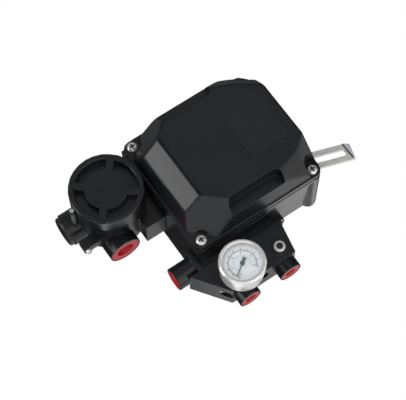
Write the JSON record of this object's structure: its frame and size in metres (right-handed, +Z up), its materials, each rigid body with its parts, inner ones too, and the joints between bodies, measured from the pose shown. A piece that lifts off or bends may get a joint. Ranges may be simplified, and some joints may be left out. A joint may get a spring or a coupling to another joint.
{
  "type": "valve positioner",
  "caption": "Electro-pneumatic valve positioner: cast box with cover, screwed round terminal box, air manifold with pressure gauge and a slotted feedback lever.",
  "frame": {"origin": "axis of the main shaft at the body's mounting face", "axes": "+Y out of the mounting face at the back, -Y towards the cover, +Z up, +X towards the lever's end"},
  "size_m": [0.2639, 0.1136, 0.1687],
  "materials": {
    "black_paint": "painted black, satin",
    "stainless": "brushed",
    "zinc_steel": "zinc plated",
    "brass": "machined",
    "aluminium": "plain",
    "dark_steel": "plain",
    "copper": "enamelled winding",
    "red_plastic": "moulded",
    "black_plastic": "moulded",
    "rubber": "matt",
    "glass": "clear",
    "dial_white": "printed white"
  },
  "bodies": {
    "base": {"body_housing": "black_paint", "vent_plug": "black_plastic", "cover": "black_paint", "cover_gasket": "rubber", "cover_screw_1": "zinc_steel", "cover_screw_2": "zinc_steel", "cover_screw_3": "zinc_steel", "cover_screw_4": "zinc_steel", "terminal_housing": "black_paint", "lid_lock_screw": "zinc_steel", "ground_screw": "zinc_steel", "conduit_blanking_plug": "black_plastic", "conduit_dust_plug": "red_plastic", "terminal_block": "black_plastic", "terminal_screw_1": "zinc_steel", "terminal_screw_2": "zinc_steel", "terminal_screw_3": "zinc_steel", "manifold_block": "black_paint", "manifold_gasket": "rubber", "manifold_screw_1": "zinc_steel", "manifold_screw_2": "zinc_steel", "manifold_hex_plug": "zinc_steel", "port_plug_1": "red_plastic", "port_plug_2": "red_plastic", "port_plug_3": "red_plastic", "gauge_case": "stainless", "gauge_bezel": "stainless", "gauge_lens": "glass", "gauge_dial": "dial_white", "gauge_stem": "brass", "bourdon_tube": "brass", "gauge_movement": "brass", "shaft_bushing": "brass", "base_plate": "aluminium", "plate_screw_1": "zinc_steel", "plate_screw_2": "zinc_steel", "beam_pivot_bracket": "dark_steel", "magnet_yoke": "dark_steel", "nozzle_block": "aluminium", "nozzle": "brass", "range_spring": "stainless", "zero_spring": "stainless", "pilot_body": "aluminium", "pilot_spring": "stainless", "pilot_cap_1": "brass", "pilot_cap_2": "brass"},
    "lever_shaft": {"main_shaft": "stainless", "shaft_clip": "zinc_steel", "feedback_lever": "stainless", "lever_washer": "zinc_steel", "lever_nut": "zinc_steel", "span_arm": "aluminium"},
    "lid_ring": {"lid_o_ring": "rubber"},
    "lid": {"terminal_lid": "black_paint"},
    "pointer": {"gauge_pointer": "black_plastic"},
    "beam": {"balance_beam": "aluminium", "moving_coil": "copper"},
    "zero": {"zero_screw": "brass"},
    "spool": {"pilot_spool": "stainless"}
  },
  "joints": [
    {"name": "lever_turn", "type": "hinge", "parent": "base", "child": "lever_shaft", "pos_m": [0, 0, 0], "axis": [0, 1, 0], "range_deg": [-48.5, 11.5], "deforming": ["range_spring"]},
    {"name": "lid_travel", "type": "slide", "parent": "base", "child": "lid_ring", "axis": [0, -1, 0], "range_m": [0, 0.006]},
    {"name": "lid_turn", "type": "hinge", "parent": "lid_ring", "child": "lid", "pos_m": [-0.097, -0.054, 0.0207], "axis": [0, -1, 0], "range_deg": [0, 1080]},
    {"name": "pointer_turn", "type": "hinge", "parent": "base", "child": "pointer", "pos_m": [-0.0406, -0.0632, -0.0957], "axis": [0, 1, 0], "range_deg": [0, 270], "stiffness_Nm_per_rad": 0.0002},
    {"name": "beam_tilt", "type": "hinge", "parent": "base", "child": "beam", "pos_m": [0.008, -0.036, 0.03], "axis": [0, 1, 0], "range_deg": [-1.2, 1.2], "stiffness_Nm_per_rad": 2},
    {"name": "zero_turn", "type": "hinge", "parent": "base", "child": "zero", "pos_m": [0.017, -0.036, 0.006], "axis": [0, 0, 1], "range_deg": [-360, 360]},
    {"name": "spool_slide", "type": "slide", "parent": "base", "child": "spool", "axis": [1, 0, 0], "range_m": [-0.0006, 0.0006], "stiffness_N_per_m": 500, "deforming": ["pilot_spring"]}
  ],
  "couplings": [
    {"joint": "lid_travel", "follows": "lid_turn", "m_per_rad": 0.000318}
  ]
}
